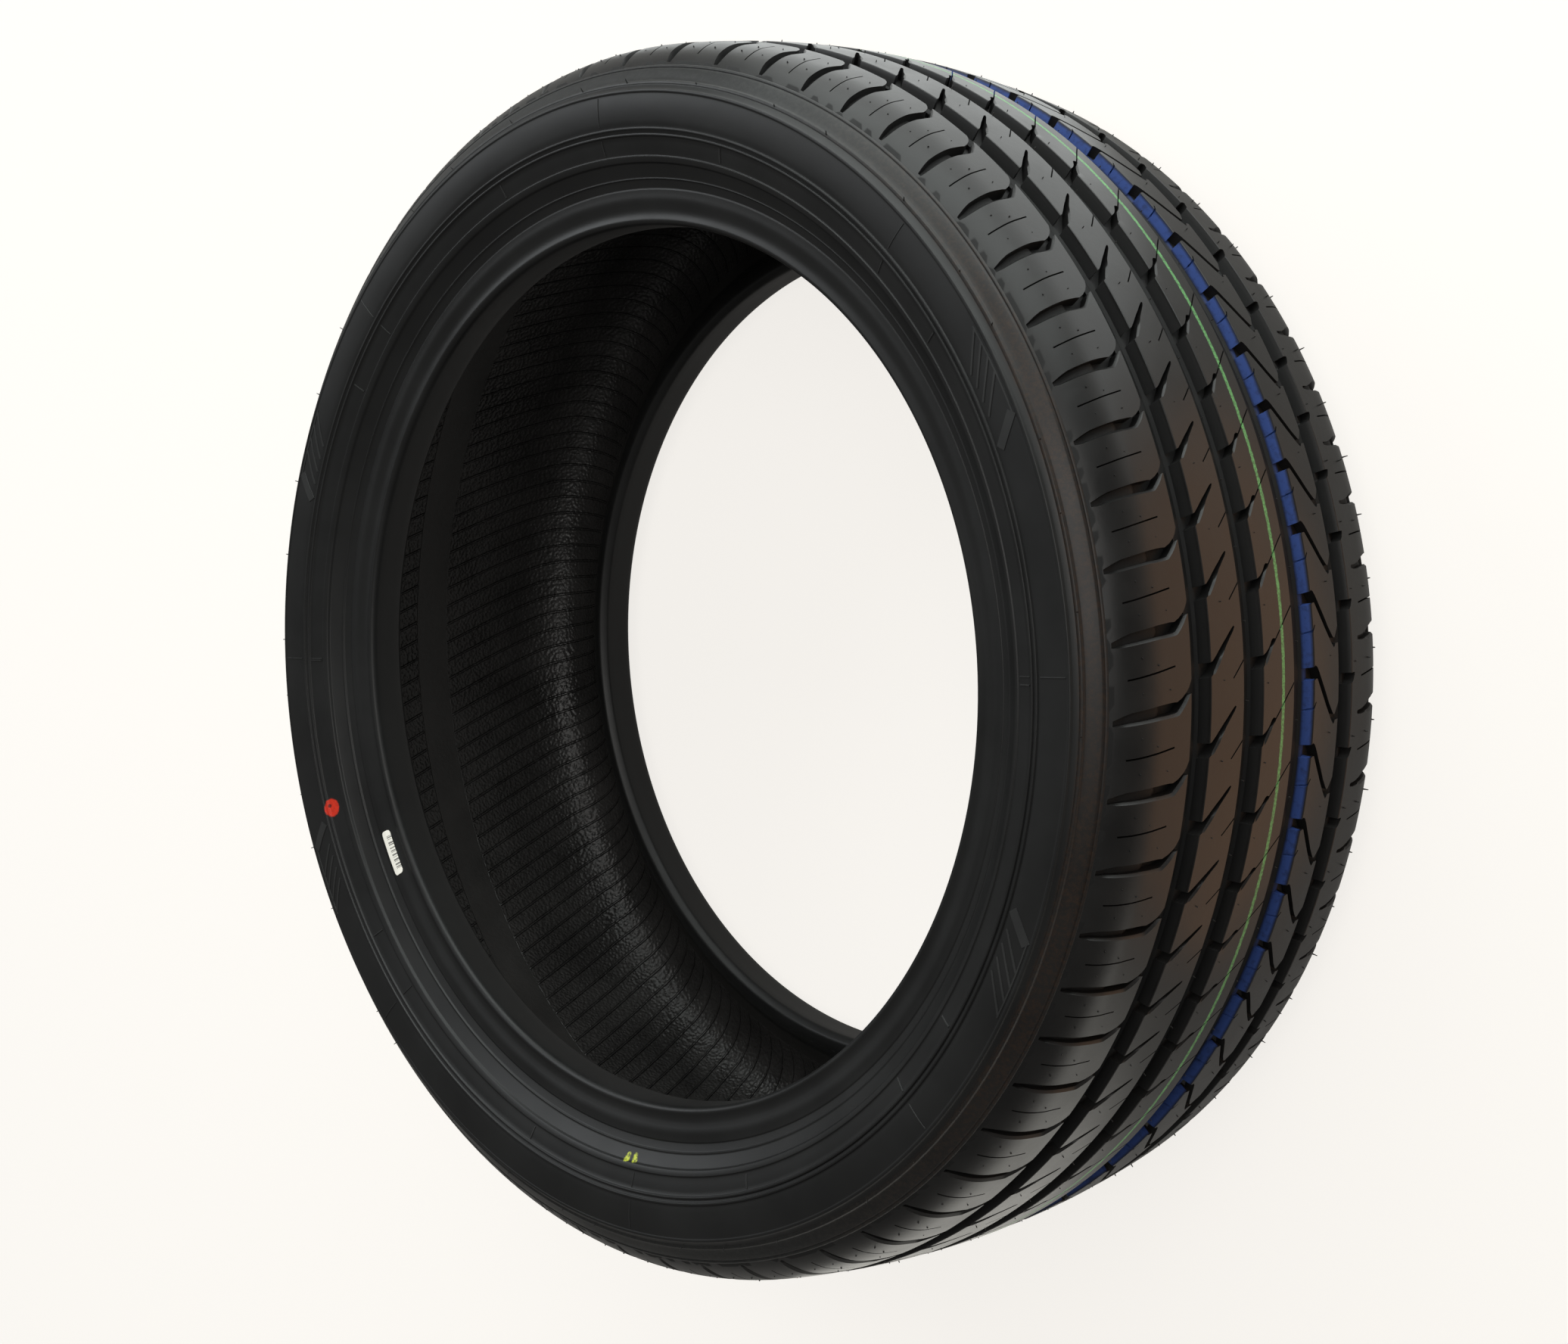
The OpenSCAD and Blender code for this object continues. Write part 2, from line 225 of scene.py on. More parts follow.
# Mesh of the tile: columns in a pitch, gaps between rows on the shoulders and between them, the height from
# which a shoulder counts, and the least distance of a loose point from an outline
COLUMNS = 8
SHOULDER_GAP = 3.2
CROWN_GAP = 5.5
SHOULDER_FROM = 60
CLEAR = 0.7
# Shallower places are flush with the tread
LEAST_DEPTH = 0.02
# Repeats of the pattern that can reach into one pitch
REPEATS = tuple(m * PITCH_L for m in range(-2, 3))


def to_tile(points):
    """(z, t) points of the tread as (t, s) points of the flat tile."""
    return [(t + SHIFT, s_of_z(z)) for z, t in points]


def refine(points, longest=3.6, closed=True):
    """The line of points with each side cut into equal steps no longer than longest."""
    out = []
    n = len(points)
    for i in range(n if closed else n - 1):
        a, b = points[i], points[(i + 1) % n]
        steps = max(1, math.ceil(math.dist(a, b) / longest))
        out += [(a[0] + (b[0] - a[0]) * j / steps, a[1] + (b[1] - a[1]) * j / steps) for j in range(steps)]
    return out if closed else out + [points[-1]]


def inside(poly, x, y):
    """Which of the points lie inside the polygon: a ray from one crosses its sides an odd number of times."""
    px, py = np.array(poly).T
    hit = np.zeros(len(x), bool)
    j = len(px) - 1
    for i in range(len(px)):
        cross = (py[i] > y) != (py[j] > y)
        with np.errstate(divide="ignore", invalid="ignore"):
            at = (px[j] - px[i]) * (y - py[i]) / (py[j] - py[i]) + px[i]
        hit ^= cross & (x < at)
        j = i
    return hit


def line_distance(line, x, y):
    """Distance of each point from the nearest place on a line of points."""
    best = np.full(len(x), np.inf)
    for (ax, ay), (bx, by) in zip(line, line[1:]):
        dx, dy = bx - ax, by - ay
        f = np.clip(((x - ax) * dx + (y - ay) * dy) / max(dx * dx + dy * dy, 1e-12), 0, 1)
        best = np.minimum(best, np.hypot(x - ax - f * dx, y - ay - f * dy))
    return best


def chamfer_law(outer, inner, deep):
    """Depth law of a chamfer: its depth times the share of the way from its outer line to its inner line."""
    def law(x, y):
        far, near = line_distance(outer, x, y), line_distance(inner, x, y)
        return np.where(far < 1e-3, 0, deep * far / np.maximum(far + near, 1e-9))

    return law


def tile_regions():
    """Outlines of all cuts and chamfers that reach into the tile, each with its depth law of (t, s)."""
    def reaches(poly):
        return max(p[0] for p in poly) >= 0 and min(p[0] for p in poly) <= PITCH_L

    regions = []
    for outline, law in CUTS:
        ring = refine(to_tile(outline))
        for off in REPEATS:
            poly = [(x + off, y) for x, y in ring]
            if reaches(poly):
                regions.append((poly, lambda x, y, law=law: law(z_of_s(y))))
    for edge, between, deep in CHAMFERS:
        lines = [edge[0], *between, edge[-1]], edge
        for off in REPEATS:
            outer, inner = (refine([(x + off, y) for x, y in to_tile(line)], closed=False) for line in lines)
            poly = outer + inner[::-1]
            if reaches(poly):
                regions.append((poly, chamfer_law(outer, inner, deep)))
    return regions


def tile_net(regions):
    """Points and fixed edges of the tile: the outlines, the grooves' steps, the two seams, and loose points
    that keep clear of the outlines."""
    verts, edges = [], []

    def chain(points, closed):
        first, n = len(verts), len(points)
        verts.extend(points)
        edges.extend((first + j, first + (j + 1) % n) for j in range(n if closed else n - 1))

    for poly, _ in regions:
        chain(poly, True)
    levels = {-S_EDGE, S_EDGE}
    for z, w in GROOVES:
        for inset, _ in GROOVE_STEPS:
            levels |= {s_of_z(z) - w / 2 + inset, s_of_z(z) + w / 2 - inset}
    levels = sorted(levels)
    columns = [PITCH_L * j / COLUMNS for j in range(COLUMNS + 1)]
    for s in levels:
        chain([(x, s) for x in columns], False)
    rows = []
    for a, b in zip(levels, levels[1:]):
        gap = SHOULDER_GAP if min(abs(a), abs(b)) > SHOULDER_FROM else CROWN_GAP
        steps = math.ceil((b - a) / gap)
        rows += [a + (b - a) * j / steps for j in range(1, steps)]
    for seam in (columns[0], columns[-1]):
        chain([(seam, s) for s in sorted(levels + rows)], False)
    x, y = (v.ravel() for v in np.meshgrid(columns[1:-1], rows))
    clear = np.ones(len(x), bool)
    for poly, _ in regions:
        clear &= line_distance(poly + poly[:1], x, y) > CLEAR
    return verts + list(zip(x[clear], y[clear])), edges


def tile_triangles(verts, edges):
    """Triangles that fill the tile and cross no fixed edge, all turned the same way. Gives points, triangles
    and their middles."""
    pts, _, tris, _, _, _ = delaunay_2d_cdt([Vector(v) for v in verts], edges, [], 0, 1e-5, False)
    p = np.array([tuple(v) for v in pts])
    tris = np.array([t for t in tris if len(t) == 3])
    mid = p[tris].mean(1)
    ab, ac = p[tris[:, 1]] - p[tris[:, 0]], p[tris[:, 2]] - p[tris[:, 0]]
    area = ab[:, 0] * ac[:, 1] - ab[:, 1] * ac[:, 0]
    ok = (mid[:, 0] > 0) & (mid[:, 0] < PITCH_L) & (np.abs(mid[:, 1]) < S_EDGE) & (np.abs(area) > 1e-7)
    tris, mid, area = tris[ok], mid[ok], area[ok]
    tris[area < 0] = tris[area < 0][:, ::-1]
    return p, tris, mid


def stand_walls(p, tris, depth):
    """One vertex (t, s, depth) for each place and depth, and walls on the edges whose two sides lie at
    different depths. A wall whose sides meet at one end is a triangle. Gives vertices, triangles and walls
    with four corners."""
    key = np.stack([tris.ravel(), np.round(depth.ravel() * 1000).astype(int)], 1)
    unique, index = np.unique(key, axis=0, return_inverse=True)
    index = index.reshape(-1, 3)
    out = np.column_stack([p[unique[:, 0]], unique[:, 1] / 1000])
    start, end = tris.ravel(), np.roll(tris, -1, 1).ravel()
    i_start, i_end = index.ravel(), np.roll(index, -1, 1).ravel()
    # the two sides of an edge share a code and follow each other in order
    forward = start < end
    code = np.where(forward, start, end) * len(p) + np.where(forward, end, start)
    order = np.lexsort((~forward, code))
    first, second = order[:-1], order[1:]
    pair = code[first] == code[second]
    first, second = first[pair], second[pair]
    differ = (i_start[first] != i_end[second]) | (i_end[first] != i_start[second])
    first, second = first[differ], second[differ]
    d = out[:, 2]
    higher = d[i_start[first]] + d[i_end[first]] < d[i_start[second]] + d[i_end[second]]
    high, low = np.where(higher, first, second), np.where(higher, second, first)
    walls = np.stack([i_end[high], i_start[high], i_end[low], i_start[low]], 1)
    ends_meet, starts_meet = walls[:, 0] == walls[:, 3], walls[:, 1] == walls[:, 2]
    corners = np.concatenate([walls[ends_meet][:, :3], walls[starts_meet][:, [0, 1, 3]]])
    return out, np.concatenate([index, corners]), walls[~ends_meet & ~starts_meet]


def build_tile():
    """One pitch as a flat tile that repeats along t. The depth of each corner of a triangle is that of the
    grooves, or of the deepest cut or chamfer that the triangle lies in."""
    regions = tile_regions()
    p, tris, mid = tile_triangles(*tile_net(regions))
    depth = groove_depth(p[:, 1])[tris]
    for poly, law in regions:
        hit = inside(poly, mid[:, 0], mid[:, 1])
        if hit.any():
            corners = tris[hit].ravel()
            here = law(p[corners, 0], p[corners, 1]).reshape(-1, 3)
            depth[hit] = np.maximum(depth[hit], here)
    depth[depth < LEAST_DEPTH] = 0
    return stand_walls(p, tris, depth)


def turned(r, phi, z):
    """Points (r cos phi, r sin phi, z)."""
    return np.stack([r * np.cos(phi), r * np.sin(phi), z + 0 * phi], -1)


def map_tread(verts, k):
    """Places the flat tile's vertices on the tyre as pitch k: t becomes an angle, and (s, depth) a place on
    the tread's section."""
    phi = -np.radians(pitch_angle(k - verts[:, 0] / PITCH_L))
    r, z = tread_surface(verts[:, 1], verts[:, 2])
    return turned(r, phi, z)


# ---------------------------------------------------------------- section outside the tread
def rounded(points, steps=2):
    """Rounds the corners of a line of (r, z) or (r, z, radius) points: each corner becomes the curve
    a(1-f)^2 + 2bf(1-f) + cf^2 between the points where its radius starts and ends."""
    out = []
    for i, p in enumerate(points):
        rad = p[2] if len(p) > 2 else 0
        here = Vector(p[:2])
        if not rad or i in (0, len(points) - 1):
            out.append(tuple(here))
            continue
        a, b = Vector(points[i - 1][:2]) - here, Vector(points[i + 1][:2]) - here
        start = here + a.normalized() * min(rad, a.length * 0.45)
        end = here + b.normalized() * min(rad, b.length * 0.45)
        f = np.linspace(0, 1, steps + 1)[:, None]
        curve = np.array(start) * (1 - f) ** 2 + np.array(here) * 2 * f * (1 - f) + np.array(end) * f * f
        out += curve.tolist()
    return [tuple(p) for p in out]


def arc_points(r0, r1, gap=2.4, lift=0.0):
    """Points down the sidewall's arc from r0 to r1, with height z = sidewall_z(r) + lift."""
    r = np.linspace(r0, r1, max(1, round(abs(r1 - r0) / gap)) + 1)
    return list(zip(r.tolist(), (sidewall_z(r) + lift).tolist()))


def smooth_curve(a, b, c, d, steps):
    """Points a(1-t)^3 + 3bt(1-t)^2 + 3ct^2(1-t) + dt^3 for t from 0 to 1."""
    t = np.linspace(0, 1, steps + 1)[:, None]
    a, b, c, d = (np.array(p, float) for p in (a, b, c, d))
    curve = a * (1 - t) ** 3 + 3 * b * t * (1 - t) ** 2 + 3 * c * t * t * (1 - t) + d * t ** 3
    return [tuple(p) for p in curve]


def fine_ridge(r, w, h):
    """One fine raised ring on the sidewall, walked inwards: foot, two corners at height h, foot."""
    z = float(sidewall_z(r))
    return [(r + w / 2 + 0.35, z - 0.05, 0.2), (r + w / 2, z + h, 0.3), (r - w / 2, z + h, 0.3),
            (r - w / 2 - 0.35, z - 0.05, 0.2)]


def over_arc(r, lift, radius=0):
    """Section point (r, z, radius) at a lift over the sidewall's arc."""
    return r, float(sidewall_z(r)) + lift, radius


# Section of the bead as (r, z) or (r, z, radius) points: raised ring, bead band, heel, seat and toe
BEAD_LINE = [over_arc(277.3, 0, 0.3), over_arc(276.8, 0.8, 0.4), over_arc(273.9, 0.75, 0.5),
             over_arc(273.2, -0.6, 0.4), (269.6, 113.4), (266.4, 111.2, 0.6), (265.6, 111.4, 0.3),
             (265.0, 110.3, 0.4), (262.5, 109.4), (260.7, 108.5, 0.4),
             (260.2, 108.9, 0.4), (259.4, 108.8), (257, 108.8), (255.0, 108.75, 1.0), (252.6, 108.0),
             (250.2, 107.0), (247.8, 106.6), (245.8, 106.9), (244.4, 107.4, 0.5), (243.3, 107.1),
             (242.2, 106.2), (241.5, 104.6), (RIM_R, 102.6), (RIM_R, 98), (RIM_R, 92), (RIM_R, 87, 1.0),
             (245.0, 82.8, 1.2), (248.5, 82.9), (252.3, 84.5)]


def outer_profile():
    """Section from the tread's lip over the sidewall and the bead to the toe."""
    foot = float(sidewall_z(311.5))
    # groove under the lip, ledge, and the stepped ring above the sidewall's arc
    line = [lip(), (324.8, 112.1, 0.3), (324.2, 112.55, 0.3), (323.5, 112.3, 0.2), (323.0, 113.3, 0.3),
            (320.6, 115.0), (318.4, 116.4), (316.4, 117.7, 0.4), (316.0, 119.2, 0.4),
            (314.7, 119.6, 0.4), (314.2, 119.4, 0.3), (311.9, foot - 0.8, 0.4),
            (311.4, foot + 0.45, 0.4), (310.2, foot + 0.55, 0.4), over_arc(309.6, 0, 0.3)]
    line += arc_points(308.5, 293.2)
    line += fine_ridge(291.1, 1.1, 0.8) + [over_arc(289.5, 0)] + fine_ridge(287.9, 1.1, 0.8)
    line += arc_points(286.6, 278.2, lift=-0.1)
    return rounded(line + BEAD_LINE)


def liner_line(steps_low, steps_high, lift=0.0):
    """Inner wall from the toe to the middle of the crown, as two smooth curves, moved out by lift."""
    toe, widest, top = (252.3, 84.5 - lift), (296, LINER_Z + lift), (LINER_R + lift, 0)
    low = smooth_curve(toe, (266.3, 99.5 + lift), (280, LINER_Z + lift), widest, steps_low)
    high = smooth_curve(widest, (322.2 + lift, LINER_Z + 1 + lift), (LINER_R + lift, 75), top, steps_high)
    return low + high[1:]


def lip():
    """The sharp edge where the tread ends, as (r, z)."""
    return tuple(float(v) for v in tread_surface(np.array(S_EDGE), 0.0))


def column_angles(per_pitch):
    """Angles of the mesh columns: an equal number to each pitch, so they follow the pitches' lengths."""
    k = np.arange(PITCHES * per_pitch) / per_pitch
    return -np.radians(pitch_angle(k))


def under_tread():
    """Section line under the tread at an even depth, which fades to 3.5 mm at the lips."""
    s = np.linspace(S_EDGE, -S_EDGE, 19)[1:-1]
    depth = np.interp(S_EDGE - np.abs(s), [0, 14], [3.5, GROOVE_DEPTH + 1.2])
    return list(zip(*(v.tolist() for v in tread_surface(s, depth))))


def revolve(line, phi):
    """Grid of points: each (r, z) of the line turned to each angle in phi."""
    rz = np.array(line)
    return turned(rz[:, :1], phi, rz[:, 1:]).reshape(-1, 3)


def ring_faces(rows, count, closed):
    """Four-sided faces of a revolved grid that closes round the axis, and along the line where closed."""
    i = np.arange(rows if closed else rows - 1)[:, None]
    j = np.arange(count)[None]
    a, b = i * count + j, i * count + (j + 1) % count
    c, d = (i + 1) % rows * count + j, (i + 1) % rows * count + (j + 1) % count
    return np.stack([a, c, d, b], -1).reshape(-1, 4)


def finish_mesh(name, verts, faces, sharp=40, **layers):
    """Merges the seams, turns the faces outwards, and keeps edges sharper than an angle in degrees crisp.
    Each layer is a named value for each vertex, which a material reads."""
    mesh = bpy.data.meshes.new(name)
    mesh.from_pydata((np.asarray(verts) * MM).tolist(), [], faces)
    for key, values in layers.items():
        layer = mesh.attributes.new(key, "FLOAT", "POINT")
        layer.data.foreach_set("value", np.asarray(values, np.float32).ravel())
    bm = bmesh.new()
    bm.from_mesh(mesh)
    bmesh.ops.remove_doubles(bm, verts=bm.verts, dist=MERGE)
    bmesh.ops.recalc_face_normals(bm, faces=bm.faces)
    for f in bm.faces:
        f.smooth = True
    for e in bm.edges:
        e.smooth = e.calc_face_angle(0) < math.radians(sharp)
    bm.to_mesh(mesh)
    bm.free()
    obj = bpy.data.objects.new(name, mesh)
    bpy.context.collection.objects.link(obj)
    return obj


def build_tread():
    """The tread band: the flat tile laid round the tyre once for each pitch, and a plain surface under it."""
    tile, tris, walls = build_tile()
    verts = np.concatenate([map_tread(tile, k) for k in range(PITCHES)])
    step = len(tile) * np.arange(PITCHES)[:, None, None]
    top = (tris[None] + step).reshape(-1, 3)
    sides = (walls[None] + step).reshape(-1, 4)
    r, z = lip()
    line = [(r, z)] + under_tread() + [(r, -z)]
    phi = column_angles(COLUMNS)
    under = ring_faces(len(line), len(phi), False) + len(verts)
    depth = np.concatenate([np.tile(tile[:, 2], PITCHES), np.full(len(line) * len(phi), GROOVE_DEPTH)])
    verts = np.concatenate([verts, revolve(line, phi)])
    faces = top.tolist() + sides.tolist() + under.tolist()
    return finish_mesh("tread_band", verts, faces, 28, cut_depth=depth)


def mirrored(line):
    """The (r, z) points of the line and, behind its last one, their mirror images in z = 0."""
    return line + [(r, -z) for r, z in reversed(line[:-1])]


def build_carcass():
    """Sidewalls and beads, with a plain inner wall and a plain surface under the tread: one closed
    revolve."""
    upper = outer_profile()
    inner = mirrored(liner_line(6, 10, 1.2)[1:])
    line = upper + inner + [(r, -z) for r, z in reversed(upper)] + under_tread()[::-1]
    phi = column_angles(4)
    return finish_mesh("carcass", revolve(line, phi), ring_faces(len(line), len(phi), True).tolist())


# Ribs left by the moulding bladder: their number, the stretches (from, to) along the inner wall that carry
# them, and the length over which a rib rises at its ends
LINER_RIBS = 170
RIB_ZONES = ((32.0, 133.0), (158.3, 175.9), (200.8, 330.0))
RIB_END = 0.6
# Section of a rib as places, in shares of the pitch, and heights in millimetres: a fine cut beside each foot
RIB_PHASE = (-0.085, -0.055, -0.028, 0.028, 0.055, 0.085)
RIB_HEIGHT = (0, -0.4, 0.35, 0.35, -0.4, 0)
# Slant of the ribs as lengths along the inner wall and turns in degrees there
SLANT_FROM = 200.8
SLANT_BEND = 278
SLANT = 0.065
SLANT_BEYOND = 0.035
SLANT_START = 0.6
SLANT_AT_BEND = 5.02


def along_line(line):
    """Length along a line of (r, z) points at each of its points."""
    return np.append(0, np.cumsum(np.hypot(*np.diff(line, axis=0).T)))


def slant(s):
    """Turn of a rib at length s, in radians: in proportion to s, and less steep beyond the bend."""
    near, far = SLANT * (s - SLANT_FROM), SLANT_AT_BEND + SLANT_BEYOND * (s - SLANT_BEND)
    return -np.radians(SLANT_START + np.where(s < SLANT_BEND, near, far))


def build_liner():
    """The moulded inner skin, with slanted ribs. Its section is the inner wall's curve. The point at length s
    and rib phase p is turned by the ribs' slant at s, and is moved off the wall by the rib's height at p
    where s lies in a stretch with ribs. A plain skin behind it closes the piece."""
    wall, fine = np.array(mirrored(liner_line(6, 12))), np.array(mirrored(liner_line(40, 80)))
    length, coarse = along_line(fine), along_line(wall)
    ends = np.array([(a, a + RIB_END, b - RIB_END, b) for a, b in RIB_ZONES]).ravel()
    s = np.sort(np.append(coarse * length[-1] / coarse[-1], ends))
    r, z = np.interp(s, length, fine[:, 0]), np.interp(s, length, fine[:, 1])
    tangent = np.stack([np.gradient(r, s), np.gradient(z, s)], 1)
    tangent /= np.linalg.norm(tangent, axis=1)[:, None]
    raised = np.zeros_like(s)
    for a, b in RIB_ZONES:
        raised = np.maximum(raised, np.clip(np.minimum(s - a, b - s) / RIB_END, 0, 1))
    phi = -np.radians(360 / LINER_RIBS) * (np.arange(LINER_RIBS)[:, None] + np.array(RIB_PHASE)).ravel()

    lift = raised[:, None] * np.tile(RIB_HEIGHT, LINER_RIBS)[None]
    turn = phi[None] + slant(s)[:, None]
    r = r[:, None] + tangent[:, 1:] * lift
    z = z[:, None] - tangent[:, :1] * lift
    skin = turned(r, turn, z)
    back = np.array(mirrored(liner_line(4, 7, 0.9)[1:]))[::-1]
    turn = phi[None] + slant(np.linspace(length[-1], 0, len(back)))[:, None]
    rear = turned(back[:, :1], turn, back[:, 1:])
    foot = np.concatenate([lift < 0, np.zeros((len(back), len(phi)))])
    verts = np.concatenate([skin, rear]).reshape(-1, 3)
    faces = ring_faces(len(skin) + len(rear), len(phi), True)
    return finish_mesh("liner", verts, faces.tolist(), 25, rib_foot=foot)


# ---------------------------------------------------------------- small forms on the sidewall
# Raised bars on the sidewall: height, depth of their feet under it, how far the feet spread, points along
# one, and the radius at which an angle's length is taken
BAR_HEIGHT = 0.32
BAR_SUNK = 0.5
BAR_SPREAD = 0.3
BAR_STEPS = 6
BAR_MIDDLE_R = 300


def sweep_bars(lines, widths):
    """Raised bars on the labelled sidewall. Each bar runs straight from (angle, r) to (angle, r); the point
    at share f of the way and offset w across it stands on the sidewall at the bars' height, and its feet lie
    sunk under it."""
    lines = np.array(lines, float)
    half = np.array(widths, float)[:, None, None] / 2
    f = np.linspace(0, 1, BAR_STEPS)[None, :, None]
    start, end = lines[:, None, None, :2], lines[:, None, None, 2:]
    place = start + (end - start) * f[..., None]
    angle, r = place[..., 0], place[..., 1]
    along = np.stack([(end - start)[..., 1], np.radians((end - start)[..., 0]) * BAR_MIDDLE_R], -1)
    along = along / np.linalg.norm(along, axis=-1)[..., None]
    side = np.array([-1.0, -1.0, 1.0, 1.0])[None, None]
    spread = np.array([BAR_SPREAD, 0.0, 0.0, BAR_SPREAD])[None, None]
    offset = side * (half + spread)
    lift = np.array([-BAR_SUNK, BAR_HEIGHT, BAR_HEIGHT, -BAR_SUNK])[None, None]
    r = r - along[..., 1] * offset
    angle = np.radians(angle) + along[..., 0] * offset / r
    verts = turned(r, -angle, sidewall_z(r) + lift).reshape(-1, 3)
    base = (np.arange(len(lines)) * BAR_STEPS * 4)[:, None, None, None]
    i = np.arange(BAR_STEPS - 1)[None, :, None]
    j = np.arange(4)[None, None]
    after = (j + 1) % 4
    quads = np.stack([i * 4 + j, i * 4 + after, (i + 1) * 4 + after, (i + 1) * 4 + j], -1) + base
    first = (np.arange(4)[None] + base[:, 0, 0]).reshape(-1, 4)
    caps = np.concatenate([first, first + (BAR_STEPS - 1) * 4])
    return verts, np.concatenate([quads.reshape(-1, 4), caps])


# Comb-like groups as (angle of the wide bar, angles of the thin bars, lean of the bars in degrees)
COMBS = ((20.2, (23.0, 24.6, 26.2, 27.8), -3.2), (153.4, (145.0, 146.4, 147.9, 149.4), 3.2),
         (201.6, (204.4, 205.9, 207.4, 208.9), -3.2), (335.4, (327.6, 329.0, 330.5, 332.0), 3.2))
# Angles of the joints between the mould's segments, and of those between the parts of its bead ring
MOULD_JOINTS = (132.2, 177.2, 223.5, 268.5, 313.4, 358.2, 42.8, 87.6)
RING_JOINTS = range(34, 394, 36)


def build_sidewall_marks():
    """Four comb-like groups of slanted bars, and the fine lines left by the joints of the mould."""
    marks = []
    for wide, thin, lean in COMBS:
        marks.append(((wide, 308.0, wide + lean * 0.75, 294.5), 5.0))
        marks += [((a, 308.0, a + lean, 294.5), 1.1) for a in thin]
        ends = sorted((wide, *thin))
        marks.append(((ends[0] - 0.3, 308.2, ends[-1] + 0.3, 308.2), 0.8))
    for a in MOULD_JOINTS:
        marks += [((a, 309.0, a, 293.6), 0.35), ((a, 286.2, a, 278.4), 0.35)]
    marks += [((a, 286.0, a, 278.6), 0.6) for a in RING_JOINTS]
    verts, faces = sweep_bars(*zip(*marks))
    return finish_mesh("sidewall_marks", verts, faces.tolist(), 30)


# Vents of one pitch as (z, t, radius, length of the nub)
VENTS = ((99.2, 18.2, 0.6, 0.5), (91.0, 14.8, 0.6, 0.5), (99.2, 2.9, 0.6, 0.5), (84.0, 4.0, 0.45, 0.4),
         (47.0, 6.0, 0.4, 0.7), (30.5, 31.0, 0.4, 0.9), (13.0, 3.0, 0.4, 0.6), (-12.0, 20.0, 0.4, 0.6),
         (-45.0, 12.0, 0.4, 0.8), (-72.5, 8.0, 0.45, 0.9), (-88.0, 9.0, 0.45, 1.4), (-101.0, 13.0, 0.45, 2.0))
# Nubs are rooted this deep in the rubber
NUB_ROOT = 0.3
# Nubs on the ledge: how many, and their radius from the axis, height, lean and thickness
LEDGE_NUBS = 40
LEDGE_R, LEDGE_Z, LEDGE_LEAN, LEDGE_THICK = 315.3, 119.1, 0.6, 0.4


def build_vent_nubs():
    """Short rubber nubs left by the mould's vents, six-sided cones cut off at the tip. The ring at share f of
    a nub is its foot plus f times its length along the tread's outward direction, with radius (1 - f / 2) of
    the foot's."""
    rng = np.random.default_rng(7)
    k = np.arange(PITCHES)[:, None]
    z, t, radius, length = (np.tile(v, (PITCHES, 1)) for v in np.array(VENTS).T)
    lean = np.arcsin(np.clip((np.abs(z) - SHOULDER_Z) / SHOULDER_R, 0, 1)) * np.sign(z)
    r, height = tread_surface(np.vectorize(s_of_z)(z), NUB_ROOT)
    angle = -np.radians(pitch_angle(k - (t + SHIFT) / PITCH_L))
    length = NUB_ROOT + length * rng.uniform(0.5, 1.5, length.shape)
    ledge = -np.radians(np.arange(LEDGE_NUBS) * 360 / LEDGE_NUBS + 5 * rng.random(LEDGE_NUBS))
    angle = np.append(angle, ledge)
    r, height, lean, radius = (np.append(a, np.full(LEDGE_NUBS, b)) for a, b in (
        (r, LEDGE_R), (height, LEDGE_Z), (lean, LEDGE_LEAN), (radius, LEDGE_THICK)))
    length = np.append(length, rng.uniform(0.8, 3.0, LEDGE_NUBS))
    out = np.stack([np.cos(angle), np.sin(angle), 0 * angle], 1)
    side = np.stack([-np.sin(angle), np.cos(angle), 0 * angle], 1)
    up = np.array([[0, 0, 1.0]])
    aim = out * np.cos(lean)[:, None] + up * np.sin(lean)[:, None]
    across = np.cross(aim, side)
    turn = np.radians(60 * np.arange(6))
    circle = side[:, None] * np.cos(turn)[:, None] + across[:, None] * np.sin(turn)[:, None]
    f = np.array([0.0, 1.0])[None, :, None, None]
    foot = out * r[:, None] + up * height[:, None]
    rings = (foot[:, None, None] + f * (aim * length[:, None])[:, None, None]
             + circle[:, None] * radius[:, None, None, None] * (1 - f / 2))
    base = (np.arange(len(r)) * 12)[:, None, None]
    j = np.arange(6)
    walls = np.stack([j, (j + 1) % 6, (j + 1) % 6 + 6, j + 6], 1)[None] + base
    caps = np.stack([j[::-1], j + 6])[None] + base
    faces = walls.reshape(-1, 4).tolist() + caps.reshape(-1, 6).tolist()
    return finish_mesh("vent_nubs", rings.reshape(-1, 3), faces, 60)


# Paper label: place of its middle, length, width, rounding of its corners, height of its face over the band,
# and depth of its back under it
LABEL_ANGLE = 330.5
LABEL_R = 255.1
LABEL_L = 28.6
LABEL_W = 6.6
LABEL_CORNER = 1.8
LABEL_FACE = 0.22
LABEL_BACK = -0.1


